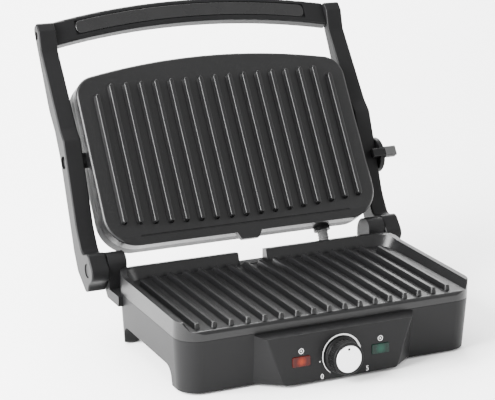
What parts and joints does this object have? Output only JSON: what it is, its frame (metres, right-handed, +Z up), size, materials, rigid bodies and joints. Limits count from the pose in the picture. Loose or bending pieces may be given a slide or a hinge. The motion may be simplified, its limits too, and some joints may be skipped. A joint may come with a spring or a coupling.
{
  "type": "panini press",
  "caption": "Contact grill with ribbed upper and lower plates, swinging arms and a carrying handle, a floating lid, a temperature knob, two indicator lamps and a tilt lever",
  "frame": {"origin": "on the table, under the middle of the whole press's box with the lid open", "axes": "+Z up, +X to the press's right, +Y to the rear, with the control panel at -Y"},
  "size_m": [0.3344, 0.3448, 0.2775],
  "materials": {
    "casing_black": "satin black moulded casing",
    "grill_coating": "black non-stick coating on cast aluminium",
    "arm_black": "satin black",
    "handle_black": "satin black",
    "gloss_black": "gloss black strip",
    "screw_steel": "zinc plated steel",
    "black_trim": "satin black",
    "foot_rubber": "soft rubber",
    "heater_steel": "dull steel sheath",
    "bright_sheet": "bright sheet",
    "red_lens": "translucent red",
    "green_lens": "translucent green",
    "lamp_glass": "clear neon bulbs",
    "white_ceramic": "pale insulating body",
    "wire_sleeve": "grey silicone sleeve",
    "satin_metal": "spun metal cap",
    "grip_grey": "grey grip"
  },
  "bodies": {
    "base": {"lower_housing": "casing_black", "bottom_cover": "casing_black", "lower_grill_plate": "grill_coating", "cover_screws": "screw_steel", "lower_plate_screws": "screw_steel", "rubber_feet": "foot_rubber", "hinge_pins": "screw_steel", "lower_heating_element": "heater_steel", "lower_heat_shield": "bright_sheet", "power_lamp_lens": "red_lens", "ready_lamp_lens": "green_lens", "neon_lamps": "lamp_glass", "thermostat": "white_ceramic", "terminal_block": "casing_black", "thermal_fuse": "white_ceramic", "lower_wiring": "wire_sleeve", "lower_conduit_gland": "black_trim", "cord_inlet": "black_trim", "wiring_conduit": "wire_sleeve"},
    "arms": {"left_arm": "arm_black", "right_arm": "arm_black", "handle_front": "handle_black", "handle_back": "handle_black", "handle_inlay": "gloss_black", "handle_screws": "screw_steel", "hinge_caps": "black_trim", "latch_screw": "screw_steel"},
    "upper_grill": {"upper_grill_plate": "grill_coating", "upper_housing": "casing_black", "upper_plate_screws": "screw_steel", "upper_heating_element": "heater_steel", "upper_heat_shield": "bright_sheet", "upper_thermal_fuse": "white_ceramic", "pivot_screws": "screw_steel", "pivot_collars": "black_trim", "upper_conduit_gland": "black_trim"},
    "knob": {"knob": "black_trim", "knob_cap": "satin_metal", "thermostat_shaft": "screw_steel"},
    "latch": {"latch_disc": "black_trim", "latch_grip": "grip_grey"}
  },
  "joints": [
    {"name": "lid_hinge", "type": "hinge", "parent": "base", "child": "arms", "pos_m": [-0.0087, 0.02263, 0.064], "axis": [1, 0, 0], "range_deg": [0, 111.8], "deforming": ["wiring_conduit"]},
    {"name": "lid_float", "type": "hinge", "parent": "arms", "child": "upper_grill", "pos_m": [-0.0087, 0.08082, 0.15026], "axis": [1, 0, 0], "range_deg": [0, 11.5]},
    {"name": "knob_turn", "type": "hinge", "parent": "base", "child": "knob", "pos_m": [-0.0047, -0.15787, 0.022], "axis": [0, -0.9976, 0.0698], "range_deg": [-135, 135]},
    {"name": "tilt_lever", "type": "hinge", "parent": "arms", "child": "latch", "pos_m": [0.1498, 0.0722, 0.12621], "axis": [1, 0, 0], "range_deg": [0, 25]}
  ],
  "couplings": [
    {"joint": "lid_float", "follows": "lid_hinge", "ratio": 0.10286}
  ]
}
